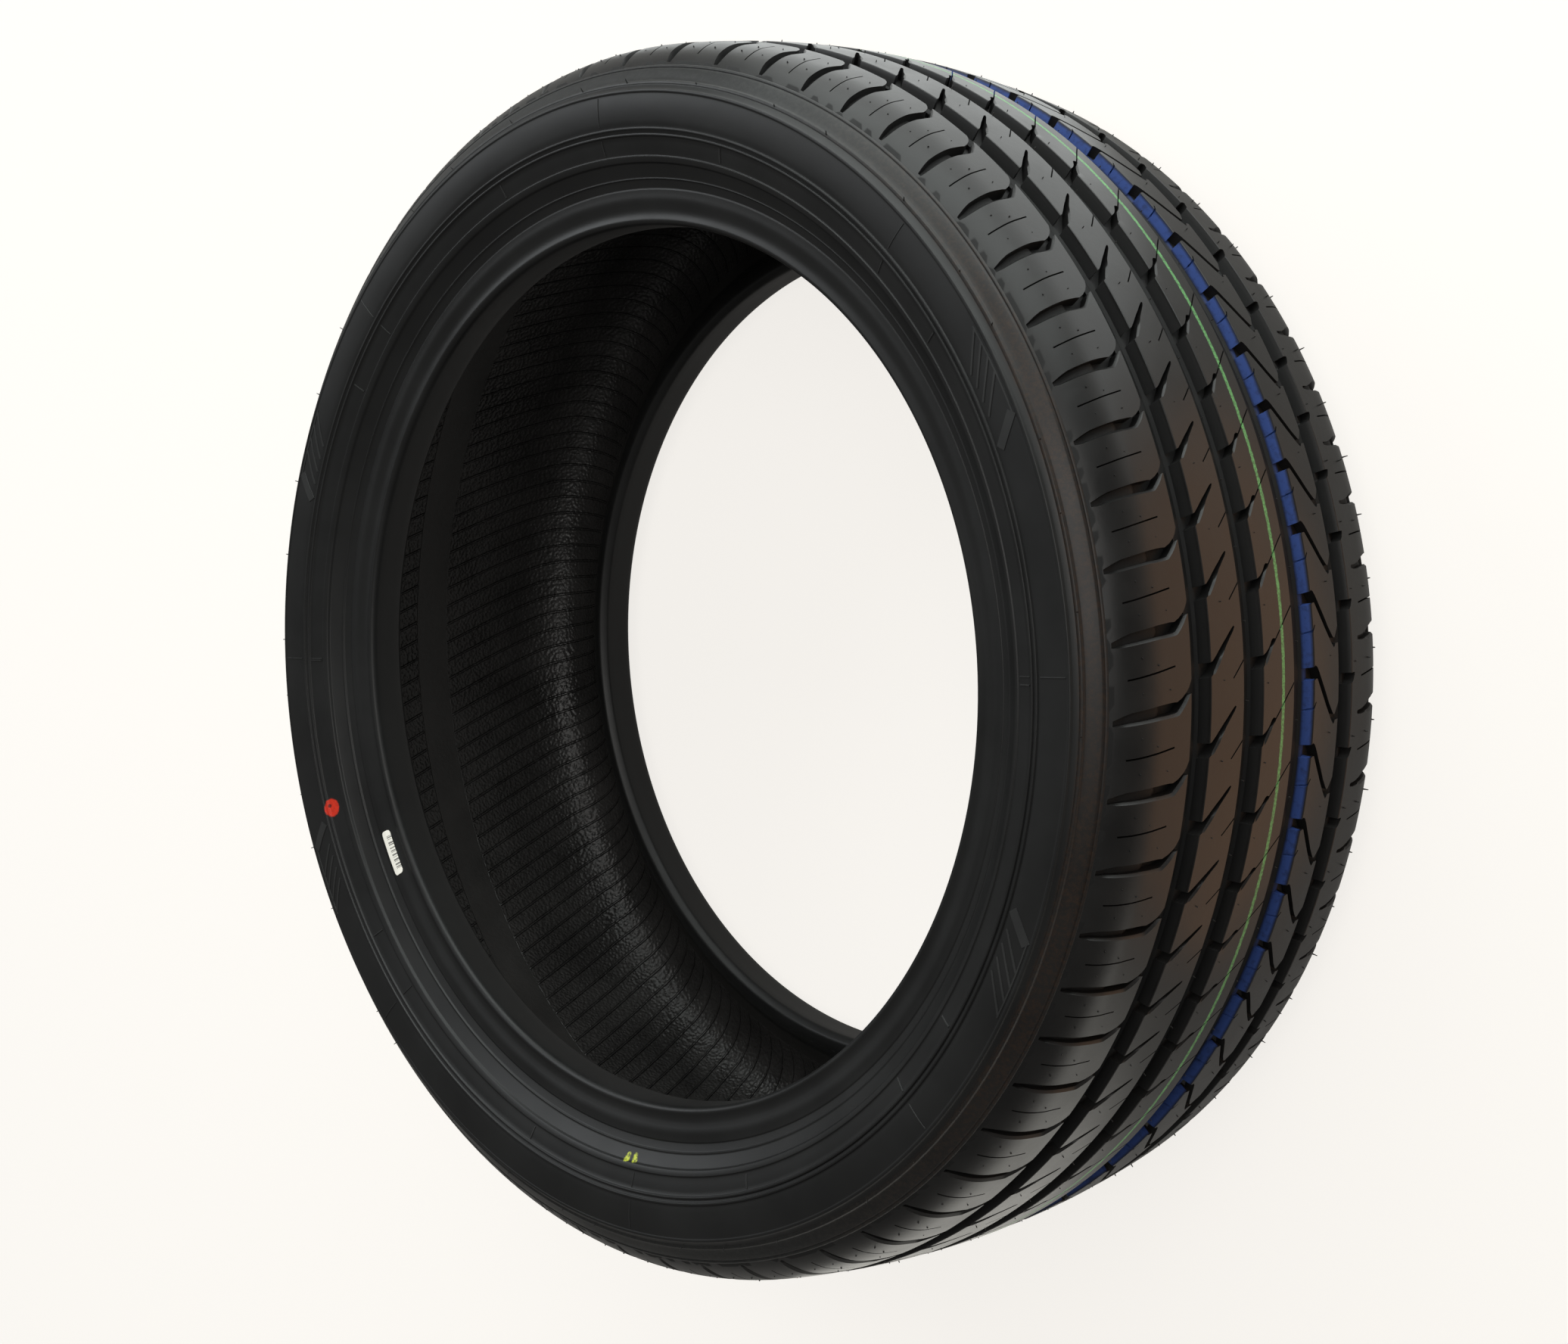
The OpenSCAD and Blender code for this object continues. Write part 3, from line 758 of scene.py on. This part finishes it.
def build_label():
    """The paper label, bent over the band beside the bead. The point at share u along it and share v across
    it lies at the label's angle plus u times the half length of its row, and at the height of the bead's
    section there plus the paper. A row near an edge is shorter by the corner's circle."""
    band = sorted(p[:2] for p in BEAD_LINE if 249 < p[0] < 262 and p[1] > 100)
    band_r, band_z = np.array(band).T
    v = np.concatenate([np.linspace(0, 0.22, 4), np.linspace(0.3, 0.7, 6), np.linspace(0.78, 1, 4)])
    r = LABEL_R + LABEL_W * (v - 0.5)
    inset = np.clip(LABEL_CORNER - np.minimum(v, 1 - v) * LABEL_W, 0, LABEL_CORNER)
    half = LABEL_L / 2 - LABEL_CORNER + np.sqrt(LABEL_CORNER ** 2 - inset ** 2)
    u = np.linspace(-1, 1, 25)
    angle = np.radians(LABEL_ANGLE) + half[:, None] * u[None] / LABEL_R
    height = np.interp(r, band_r, band_z)[:, None] + 0 * angle
    layers = [turned(r[:, None], -angle, height + lift) for lift in (LABEL_FACE, LABEL_BACK)]
    verts = np.concatenate(layers).reshape(-1, 3)
    rows, cols = angle.shape
    i, j = np.arange(rows - 1)[:, None], np.arange(cols - 1)[None]
    a, b = i * cols + j, (i + 1) * cols + j
    top = np.stack([a, a + 1, b + 1, b], -1).reshape(-1, 4)
    rim = np.concatenate([np.arange(cols), np.arange(1, rows) * cols + cols - 1,
                          (rows - 1) * cols + np.arange(cols - 2, -1, -1), np.arange(rows - 2, 0, -1) * cols])
    after = np.roll(rim, -1)
    total = rows * cols
    sides = np.stack([rim, after, after + total, rim + total], 1)
    faces = np.concatenate([top, top[:, ::-1] + total, sides])
    return finish_mesh("paper_label", verts, faces.tolist(), 50)


# ---------------------------------------------------------------- shader helpers
class Nodes:
    """Short calls that put nodes into one tree, of a material or of a group."""

    def __init__(self, tree, vector):
        self.tree = tree
        self.vector = vector

    def put(self, socket, value):
        """Links a socket to the input, or sets its value."""
        if isinstance(value, bpy.types.NodeSocket):
            self.tree.links.new(value, socket)
        else:
            socket.default_value = value

    def math(self, op, a, b=0.0, clamp=False):
        n = self.tree.nodes.new("ShaderNodeMath")
        n.operation = op
        n.use_clamp = clamp
        self.put(n.inputs[0], a)
        self.put(n.inputs[1], b)
        return n.outputs[0]

    def times(self, a, b):
        return self.math("MULTIPLY", a, b)

    def plus(self, a, b):
        return self.math("ADD", a, b)

    def split(self, vector):
        n = self.tree.nodes.new("ShaderNodeSeparateXYZ")
        self.put(n.inputs[0], vector)
        return n.outputs

    def noise(self, scale, detail=3.0, rough=0.55):
        n = self.tree.nodes.new("ShaderNodeTexNoise")
        self.put(n.inputs["Vector"], self.vector)
        for name, v in (("Scale", scale), ("Detail", detail), ("Roughness", rough)):
            self.put(n.inputs[name], v)
        return n.outputs["Fac"]

    def ramp(self, value, low, high, to_low=0.0, to_high=1.0):
        """to_low at low, to_high at high, in proportion between them and no more beyond them."""
        n = self.tree.nodes.new("ShaderNodeMapRange")
        n.clamp = True
        for s, v in zip(n.inputs, (value, low, high, to_low, to_high)):
            self.put(s, v)
        return n.outputs[0]

    def mix(self, factor, a, b):
        """Colour a where the factor is 0, b where it is 1."""
        n = self.tree.nodes.new("ShaderNodeMix")
        n.data_type = "RGBA"
        self.put(n.inputs[0], factor)
        for s, v in ((n.inputs[6], a), (n.inputs[7], b)):
            self.put(s, (*v, 1) if isinstance(v, tuple) and len(v) == 3 else v)
        return n.outputs[2]

    def layer(self, name):
        """A value that the piece stores for each vertex."""
        n = self.tree.nodes.new("ShaderNodeAttribute")
        n.attribute_name = name
        return n.outputs["Fac"]

    def radius_height(self):
        """Radius from the spin axis and height, in metres."""
        x, y, z = self.split(self.vector)
        return self.math("SQRT", self.plus(self.times(x, x), self.times(y, y))), z

    def angle(self):
        """Angle round the spin axis from +X towards +Y, in radians."""
        x, y, _ = self.split(self.vector)
        return self.math("ARCTAN2", y, x)

    def between(self, value, low, high, soft):
        """1 from low to high, with edges that fade over soft."""
        up = self.ramp(value, low - soft / 2, low + soft / 2)
        return self.times(up, self.ramp(value, high - soft / 2, high + soft / 2, 1.0, 0.0))

    def seen(self, by_camera, by_tyre):
        """One brightness for what the camera sees straight, another for what the tyre sees."""
        path = self.tree.nodes.new("ShaderNodeLightPath")
        return self.ramp(path.outputs["Is Camera Ray"], 0.0, 1.0, by_tyre, by_camera)

    def group(self, tree, **values):
        """Places a group and sets its inputs. Gives its outputs."""
        n = self.tree.nodes.new("ShaderNodeGroup")
        n.node_tree = tree
        for name, v in values.items():
            self.put(n.inputs[name.replace("_", " ")], v)
        return n.outputs


def new_group(name, inputs, outputs):
    """An empty node group with its sockets. Gives the tree, its helper, its input sockets and its output
    node."""
    tree = bpy.data.node_groups.new(name, "ShaderNodeTree")
    for direction, items in (("INPUT", inputs), ("OUTPUT", outputs)):
        for title, kind in items:
            tree.interface.new_socket(name=title, in_out=direction, socket_type="NodeSocket" + kind)
    entry, end = tree.nodes.new("NodeGroupInput"), tree.nodes.new("NodeGroupOutput")
    return tree, Nodes(tree, entry.outputs["Vector"]), entry.outputs, end


def rubber_surface_group():
    """Moulded rubber: cloudy patches mix two colours and two roughnesses, and two grains add up to a
    height."""
    tree, n, given, end = new_group(
        "rubber_surface",
        (("Vector", "Vector"), ("Dark", "Color"), ("Light", "Color"), ("Patch Scale", "Float"),
         ("Smooth", "Float"), ("Rough", "Float"), ("Coarse Scale", "Float"), ("Fine Scale", "Float")),
        (("Color", "Color"), ("Roughness", "Float"), ("Height", "Float")))
    patch = n.ramp(n.noise(given["Patch Scale"], 4), 0.32, 0.72)
    streak = n.noise(given["Coarse Scale"], 2)
    n.put(end.inputs["Color"], n.mix(patch, given["Dark"], given["Light"]))
    worn = n.plus(n.times(patch, 0.7), n.times(streak, 0.3))
    n.put(end.inputs["Roughness"], n.ramp(worn, 0.0, 1.0, given["Smooth"], given["Rough"]))
    fine = n.noise(given["Fine Scale"], 2)
    n.put(end.inputs["Height"], n.plus(n.times(streak, 0.65), n.times(fine, 0.35)))
    return tree


def paint_spot_group():
    """Dab of paint: 1 within Size of Centre, fading over Soft, with worn flecks."""
    tree, n, given, end = new_group(
        "paint_spot",
        (("Vector", "Vector"), ("Centre", "Vector"), ("Size", "Float"), ("Soft", "Float"), ("Worn", "Float")),
        (("Mask", "Float"),))
    far = tree.nodes.new("ShaderNodeVectorMath")
    far.operation = "DISTANCE"
    n.put(far.inputs[0], given["Vector"])
    n.put(far.inputs[1], given["Centre"])
    ragged = n.times(n.math("SUBTRACT", n.noise(700, 2), 0.5), given["Soft"])
    edge = n.plus(far.outputs["Value"], ragged)
    spot = n.ramp(edge, given["Size"], n.plus(given["Size"], given["Soft"]), 1.0, 0.0)
    flecks = n.times(n.ramp(n.noise(600, 3), 0.4, 0.55, 1.0, 0.0), given["Worn"])
    n.put(end.inputs["Mask"], n.times(spot, n.math("SUBTRACT", 1.0, flecks)))
    return tree


RUBBER_SURFACE = rubber_surface_group()
PAINT_SPOT = paint_spot_group()


def new_material(name):
    """A material, its tree helper on Object coordinates, and its shader."""
    mat = bpy.data.materials.new(name)
    mat.use_nodes = True
    coords = mat.node_tree.nodes.new("ShaderNodeTexCoord").outputs["Object"]
    return mat, Nodes(mat.node_tree, coords), mat.node_tree.nodes["Principled BSDF"]


def add_bump(n, shader, height, strength, distance):
    """Grain too fine for the mesh, as a bump of the given height."""
    bump = n.tree.nodes.new("ShaderNodeBump")
    bump.inputs["Strength"].default_value = strength
    bump.inputs["Distance"].default_value = distance
    n.put(bump.inputs["Height"], height)
    n.put(shader.inputs["Normal"], bump.outputs[0])


def on_sidewall(angle, r):
    """Place of (angle, r) on the labelled sidewall, in metres."""
    a = -math.radians(angle)
    return (r * math.cos(a) * MM, r * math.sin(a) * MM, float(sidewall_z(r)) * MM)


# black of the painted shade in the tread's cuts and in the fine cuts beside the liner's ribs
PAINTED_SHADE_BLACK = (0.003, 0.003, 0.003)
LINE_GREEN = (0.17, 0.5, 0.17)
LINE_BLUE = (0.035, 0.085, 0.33)
# brown of the ledge's bloom towards -X, which is a painted warm reflection
BLOOM_AND_WARM_REFLECTION = (0.046, 0.024, 0.013)
BLOOM_GREY = (0.034, 0.035, 0.033)
DOT_RED = (0.95, 0.045, 0.015)
DOT_CENTRE = (0.2, 0.012, 0.01)
DAB_YELLOW = (0.75, 0.84, 0.07)
PAPER = (0.94, 0.92, 0.83)
INK = (0.05, 0.05, 0.055)
# Bars of the label in a radian, and the reach of their zone to either side of the label's middle, in radians
BARS_PER_RADIAN = 700.0
BARS_REACH = 0.043
# Dabs of paint on the sidewall as (angle, r, size and softness in metres, wear, colour)
DABS = ((339.3, 285.5, 0.0051, 0.0009, 0.15, DOT_RED), (339.6, 286.5, 0.0009, 0.0005, 0.0, DOT_CENTRE),
        (269.1, 272.0, 0.0016, 0.0008, 0.8, DAB_YELLOW), (269.2, 269.9, 0.0013, 0.0007, 0.8, DAB_YELLOW),
        (270.4, 272.6, 0.0017, 0.0008, 0.8, DAB_YELLOW), (270.3, 270.3, 0.0013, 0.0007, 0.8, DAB_YELLOW))


def tread_rubber():
    """Rubber of the tread, with painted shade and duller rubber in the cuts, and two guide lines of paint."""
    mat, n, shader = new_material("tread_rubber")
    r, z = n.radius_height()
    rubber = n.group(RUBBER_SURFACE, Vector=n.vector, Dark=(0.0085, 0.0082, 0.008, 1),
                     Light=(0.0145, 0.014, 0.0135, 1), Patch_Scale=34.0, Smooth=0.30, Rough=0.42,
                     Coarse_Scale=260.0, Fine_Scale=2600.0)
    # painted shade: walls and floors of the cuts are darkened towards black as they deepen, and made duller
    cut = n.ramp(n.layer("cut_depth"), 0.3, 2.4)
    base = n.mix(n.times(cut, 0.9), rubber["Color"], PAINTED_SHADE_BLACK)
    # guide line round the middle, thin and worn, with feathered edges
    ragged = n.times(n.math("SUBTRACT", n.noise(520, 4, 0.7), 0.5), 0.0018)
    line = n.between(n.plus(z, ragged), -0.0011, 0.0012, 0.0005)
    top = n.ramp(r, CROWN_TOP * MM - 0.0009, CROWN_TOP * MM - 0.0005)
    worn = n.ramp(n.noise(800, 4, 0.7), 0.36, 0.6, 0.3, 0.95)
    green = n.times(n.times(line, top), worn)
    base = n.mix(green, base, LINE_GREEN)
    # second line, on the wall of the widest groove
    deep = n.between(r, (CROWN_TOP - 6.6) * MM, (CROWN_TOP - 1.8) * MM, 0.0016)
    wall = n.between(z, -0.0296, -0.0266, 0.0003)
    blue = n.times(n.times(deep, wall), n.ramp(n.noise(300, 3), 0.3, 0.5, 0.6, 1.0))
    n.put(shader.inputs["Base Color"], n.mix(blue, base, LINE_BLUE))
    rough = n.plus(rubber["Roughness"], n.times(cut, 0.3))
    n.put(shader.inputs["Roughness"], n.plus(rough, n.times(green, 0.2)))
    add_bump(n, shader, rubber["Height"], 0.2, 0.0003)
    return mat


def sidewall_rubber(name, painted_highlight_gain):
    """Rubber of the sidewalls and beads, its colours times a gain that above 1 paints highlight, with bloom
    on the ledge that is partly a painted warm reflection, and dabs of paint."""
    mat, n, shader = new_material(name)
    rubber = n.group(RUBBER_SURFACE, Vector=n.vector, Dark=(0.0105 * painted_highlight_gain, 0.0107 * painted_highlight_gain, 0.0107 * painted_highlight_gain, 1),
                     Light=(0.0165 * painted_highlight_gain, 0.0168 * painted_highlight_gain, 0.0165 * painted_highlight_gain, 1),
                     Patch_Scale=18.0, Smooth=0.36, Rough=0.50, Coarse_Scale=150.0, Fine_Scale=3000.0)
    r, z = n.radius_height()
    # bloom on the ledge between sidewall and tread, worn in specks: grey towards +X, and brown towards -X as
    # a painted warm reflection
    ledge = n.times(n.between(r, 0.3138, 0.3254, 0.0012), n.ramp(z, 0.10, 0.108))
    specks = n.ramp(n.noise(380, 6, 0.8), 0.44, 0.70, 0.12, 1.0)
    x = n.split(n.vector)[0]
    # painted warm reflection: the bloom turns brown towards -X, where the warm lamp lies
    bloom_and_reflection = n.mix(n.ramp(x, -0.28, -0.12), BLOOM_AND_WARM_REFLECTION, BLOOM_GREY)
    base = n.mix(n.times(ledge, specks), rubber["Color"], bloom_and_reflection)
    for at_angle, at_r, size, soft, wear, colour in DABS:
        dab = n.group(PAINT_SPOT, Vector=n.vector, Centre=on_sidewall(at_angle, at_r), Size=size, Soft=soft,
                      Worn=wear)
        base = n.mix(dab["Mask"], base, colour)
    n.put(shader.inputs["Base Color"], base)
    n.put(shader.inputs["Roughness"], rubber["Roughness"])
    add_bump(n, shader, n.times(rubber["Height"], 0.75), 0.2, 0.0003)
    return mat


def liner_rubber():
    """Paler rubber of the inner skin, with painted shade in the fine cuts beside the ribs and a leaf-like
    crinkle.
    """
    mat, n, shader = new_material("liner_rubber")
    rubber = n.group(RUBBER_SURFACE, Vector=n.vector, Dark=(0.03, 0.029, 0.028, 1),
                     Light=(0.056, 0.054, 0.052, 1), Patch_Scale=30.0, Smooth=0.30, Rough=0.46,
                     Coarse_Scale=420.0, Fine_Scale=1600.0)
    # painted shade: the fine cuts at the ribs' feet are darkened towards black, and made duller
    foot = n.times(n.layer("rib_foot"), 0.9)
    n.put(shader.inputs["Base Color"], n.mix(foot, rubber["Color"], PAINTED_SHADE_BLACK))
    n.put(shader.inputs["Roughness"], n.plus(rubber["Roughness"], n.times(foot, 0.3)))
    # crinkle between the ribs, and smooth bands beside them
    r, z = n.radius_height()
    cell = n.tree.nodes.new("ShaderNodeTexVoronoi")
    cell.feature = "SMOOTH_F1"
    n.put(cell.inputs["Vector"], n.vector)
    cell.inputs["Scale"].default_value = 520
    crinkle = n.ramp(cell.outputs["Distance"], 0.1, 0.75)
    plain = n.math("MAXIMUM", n.between(z, -0.0205, 0.0037, 0.0006), n.between(z, 0.0213, 0.046, 0.0006))
    crinkle = n.times(crinkle, n.math("SUBTRACT", n.ramp(r, 0.2745, 0.2755), plain, True))
    add_bump(n, shader, n.plus(n.times(crinkle, 0.75), n.times(rubber["Height"], 0.25)), 0.8, 0.0008)
    return mat


def label_paper():
    """Off-white paper with dark bars of uneven width towards its inner edge, which stand for a bar code."""
    mat, n, shader = new_material("label_paper")
    r, _ = n.radius_height()
    angle = n.angle()
    cell = n.tree.nodes.new("ShaderNodeTexWhiteNoise")
    cell.noise_dimensions = "1D"
    n.put(cell.inputs["W"], n.math("FLOOR", n.times(angle, BARS_PER_RADIAN)))
    bars = n.math("GREATER_THAN", cell.outputs["Value"], 0.5)
    middle = math.radians(360 - LABEL_ANGLE)
    zone = n.times(n.between(r, 0.2516, 0.2552, 0.0002),
                   n.between(angle, middle - BARS_REACH, middle + BARS_REACH, 0.0004))
    paper = n.mix(n.times(n.times(bars, zone), 0.8), PAPER, INK)
    n.put(shader.inputs["Base Color"], paper)
    # painted light: the paper glows a little, though it is no lamp, so that it reads brighter
    n.put(shader.inputs["Emission Color"], paper)
    shader.inputs["Emission Strength"].default_value = 0.35
    shader.inputs["Roughness"].default_value = 0.55
    return mat


# ---------------------------------------------------------------- the tyre
SIDEWALL_RUBBER = sidewall_rubber("sidewall_rubber", 1.0)
for build, material in ((build_tread, tread_rubber()), (build_carcass, SIDEWALL_RUBBER),
                        (build_liner, liner_rubber()),
                        # the marks' rubber is 2.6 times lighter: painted highlight on the raised bars and
                        # lines
                        (build_sidewall_marks, sidewall_rubber("mark_rubber_painted_highlight", 2.6)),
                        (build_vent_nubs, SIDEWALL_RUBBER)):
    piece = build()
    piece.data.materials.append(material)
    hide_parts("tyre")
    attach(piece, "root")

label = build_label()
label.data.materials.append(label_paper())
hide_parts("barcode_label")
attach(label, "root")


# ---------------------------------------------------------------- floor, light and camera
def floor_material():
    """Pale paper. The camera sees it evenly lit, and the tyre sees it as a dimmer card."""
    mat, n, shader = new_material("floor_pale")
    shader.inputs["Base Color"].default_value = (0.34, 0.33, 0.31, 1)
    shader.inputs["Roughness"].default_value = 0.85
    shader.inputs["Specular IOR Level"].default_value = 0.1
    shader.inputs["Emission Color"].default_value = (1.0, 0.972, 0.93, 1)
    n.put(shader.inputs["Emission Strength"], n.seen(0.83, 0.18))
    return mat


FLOOR_SIZE = 14
# Gap between the lower sidewall and the floor, in metres
FLOOR_GAP = 0.0002
bpy.ops.mesh.primitive_plane_add(size=FLOOR_SIZE, location=(0, 0, -SIDE_Z * MM - FLOOR_GAP))
floor = bpy.context.object
floor.name = "floor"
floor.data.materials.append(floor_material())

world = bpy.data.worlds.new("studio")
bpy.context.scene.world = world
world.use_nodes = True
sky = Nodes(world.node_tree, None)
background = world.node_tree.nodes["Background"]
background.inputs[0].default_value = (1.0, 0.985, 0.955, 1)
sky.put(background.inputs[1], sky.seen(0.95, 0.14))


# Height of the lamps that lie just over the floor, in metres
CARD_Z = -0.1205


def area_light(name, position, target, size, power, colour):
    """Soft rectangular lamp that the camera doesn't see."""
    data = bpy.data.lights.new(name, "AREA")
    data.shape = "RECTANGLE"
    data.size, data.size_y = size
    data.energy = power
    data.color = colour
    obj = bpy.data.objects.new(name, data)
    bpy.context.collection.objects.link(obj)
    obj.location = position
    obj.rotation_euler = (Vector(target) - Vector(position)).to_track_quat("-Z", "Y").to_euler()
    obj.visible_camera = False


def floor_card(name, centre, size, power, colour):
    """Lamp that lies on the floor and shines up, mirrored in the tread beside it."""
    area_light(name, (*centre, CARD_Z), (*centre, 1.0), size, power, colour)


# Name, place, target, size in metres, watts and colour
area_light("sheen", (2.0, -1.6, 1.7), (0, 0, 0), (1.8, 1.8), 23, (0.93, 0.97, 1.0))
area_light("front_fill", (-1.3, -0.6, 2.2), (0, 0, 0), (1.4, 1.4), 13, (1.0, 0.98, 0.95))
area_light("top_light", (-0.5, -2.0, 0.78), (-0.5, 0, 0.6), (2.6, 1.75), 34, (0.94, 1.0, 0.98))
# Name, place of the middle, size, watts and colour
floor_card("upper_card", (-0.2, -0.98), (1.1, 1.3), 5.6, (0.95, 1.0, 1.0))
floor_card("warm_card", (-0.66, 0.0), (0.55, 0.5), 0.52, (1.0, 0.44, 0.14))
floor_card("lower_card", (-0.35, 0.62), (0.9, 0.5), 1.5, (1.0, 0.98, 0.9))

# Camera of the photograph. In its own frame the spin axis is Y and the picture's up is Z.
AZ, EL, PAN, TILT = (math.radians(v) for v in (44.445, 4.535, -0.216, -0.300))
DISTANCE = 1.4893
FOCAL_PX = 3396.1
IMAGE_W = 2072
SENSOR = 36


def to_row(v):
    """The photograph's frame to the part's frame."""
    return Vector((v[0], -v[2], v[1]))


eye = DISTANCE * Vector((-math.sin(AZ) * math.cos(EL), math.cos(AZ) * math.cos(EL), math.sin(EL)))
aim = -eye.normalized()
turn, rise = math.atan2(aim.y, aim.x) + PAN, math.asin(aim.z) + TILT
aim = Vector((math.cos(rise) * math.cos(turn), math.cos(rise) * math.sin(turn), math.sin(rise)))
right = aim.cross(Vector((0, 0, 1))).normalized()
up = right.cross(aim)
camera_data = bpy.data.cameras.new("camera")
camera_data.sensor_width = SENSOR
camera_data.lens = SENSOR * FOCAL_PX / IMAGE_W
camera_data.clip_end = 50
camera = bpy.data.objects.new("camera", camera_data)
bpy.context.collection.objects.link(camera)
axes = [to_row(right), to_row(up), to_row(-aim)]
basis = Matrix([list(a) for a in axes]).transposed()
camera.matrix_world = Matrix.Translation(to_row(eye)) @ basis.to_4x4()
bpy.context.scene.camera = camera

bpy.context.scene.view_settings.view_transform = "Standard"
